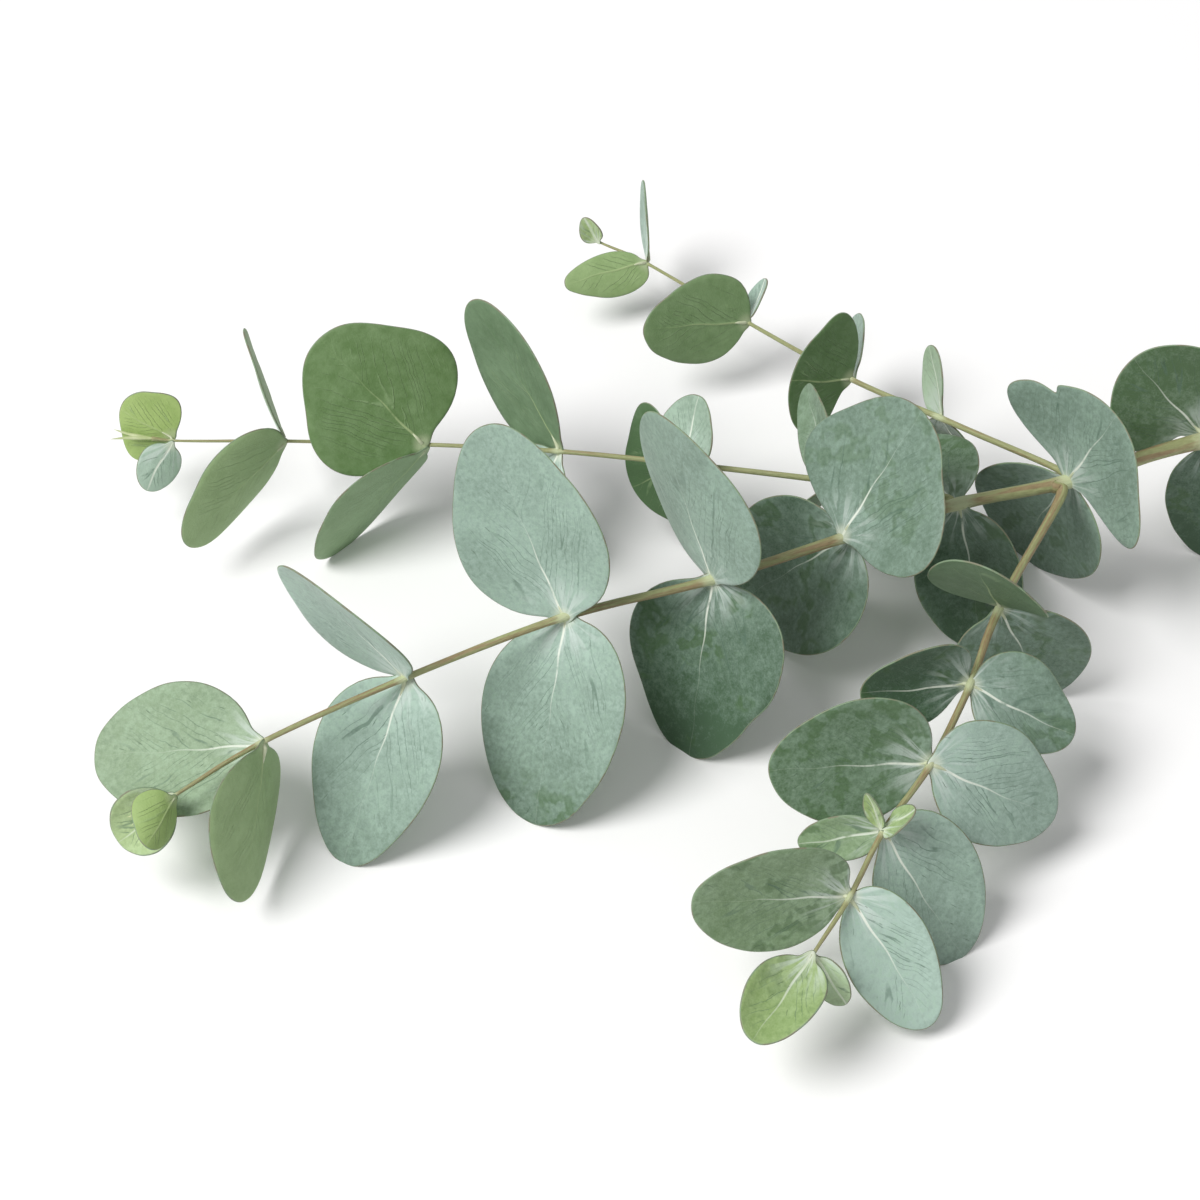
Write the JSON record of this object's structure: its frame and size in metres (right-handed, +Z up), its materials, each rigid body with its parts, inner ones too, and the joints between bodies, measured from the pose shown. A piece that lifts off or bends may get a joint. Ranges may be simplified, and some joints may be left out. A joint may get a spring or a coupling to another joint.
{
  "type": "eucalyptus branch",
  "caption": "Cut silver-dollar eucalyptus branch lying down: an arching stem with three side shoots and opposite pairs of round grey-green leaves",
  "frame": {"origin": "centre of the branch's box in plan, on the surface that it lies on", "axes": "+X along the main stem towards its cut end, the longest extent; +Y away from the side that the front shoot grows to; +Z up"},
  "size_m": [0.3364, 0.2508, 0.076],
  "materials": {
    "bark": "thin smooth green bark, olive with reddish-brown stretches and a pale waxy bloom by the leaf nodes",
    "grown_leaf": "grey-green with a matt waxy bloom and a fine pale vein net above, plainer green below",
    "young_leaf": "yellow-green young leaf with a light bloom"
  },
  "bodies": {
    "root": {"leaf_back_1_lower": "grown_leaf", "leaf_back_1_upper": "grown_leaf", "leaf_back_2_left": "grown_leaf", "leaf_back_2_right": "grown_leaf", "leaf_back_3_left": "grown_leaf", "leaf_back_3_right": "grown_leaf", "leaf_back_4_left": "grown_leaf", "leaf_back_4_right": "grown_leaf", "leaf_back_5_left": "young_leaf", "leaf_front_1_lower": "grown_leaf", "leaf_front_1_upper": "grown_leaf", "leaf_front_2_left": "grown_leaf", "leaf_front_2_right": "grown_leaf", "leaf_front_3_left": "grown_leaf", "leaf_front_3_right": "grown_leaf", "leaf_front_4_bud_left": "young_leaf", "leaf_front_4_bud_right": "young_leaf", "leaf_front_4_left": "grown_leaf", "leaf_front_4_right": "grown_leaf", "leaf_front_5_left": "grown_leaf", "leaf_front_5_right": "grown_leaf", "leaf_front_6_left": "young_leaf", "leaf_front_6_right": "young_leaf", "leaf_left_1_lower": "grown_leaf", "leaf_left_1_upper": "grown_leaf", "leaf_left_2_lower": "grown_leaf", "leaf_left_2_upper": "grown_leaf", "leaf_left_3_lower": "grown_leaf", "leaf_left_3_upper": "grown_leaf", "leaf_left_4_lower": "grown_leaf", "leaf_left_4_upper": "grown_leaf", "leaf_left_5_lower": "grown_leaf", "leaf_left_5_upper": "grown_leaf", "leaf_left_6_lower": "young_leaf", "leaf_left_6_upper": "young_leaf", "leaf_main_10_inner": "young_leaf", "leaf_main_10_outer": "young_leaf", "leaf_main_2_lower": "grown_leaf", "leaf_main_2_upper": "grown_leaf", "leaf_main_3_lower": "grown_leaf", "leaf_main_3_upper": "grown_leaf", "leaf_main_4_lower": "grown_leaf", "leaf_main_4_upper": "grown_leaf", "leaf_main_5_lower": "grown_leaf", "leaf_main_5_upper": "grown_leaf", "leaf_main_6_lower": "grown_leaf", "leaf_main_6_upper": "grown_leaf", "leaf_main_7_lower": "grown_leaf", "leaf_main_7_upper": "grown_leaf", "leaf_main_8_lower": "grown_leaf", "leaf_main_8_upper": "grown_leaf", "leaf_main_9_left": "grown_leaf", "leaf_main_9_right": "grown_leaf", "stem_back": "bark", "stem_front": "bark", "stem_left": "bark", "stem_main": "bark"}
  },
  "joints": []
}
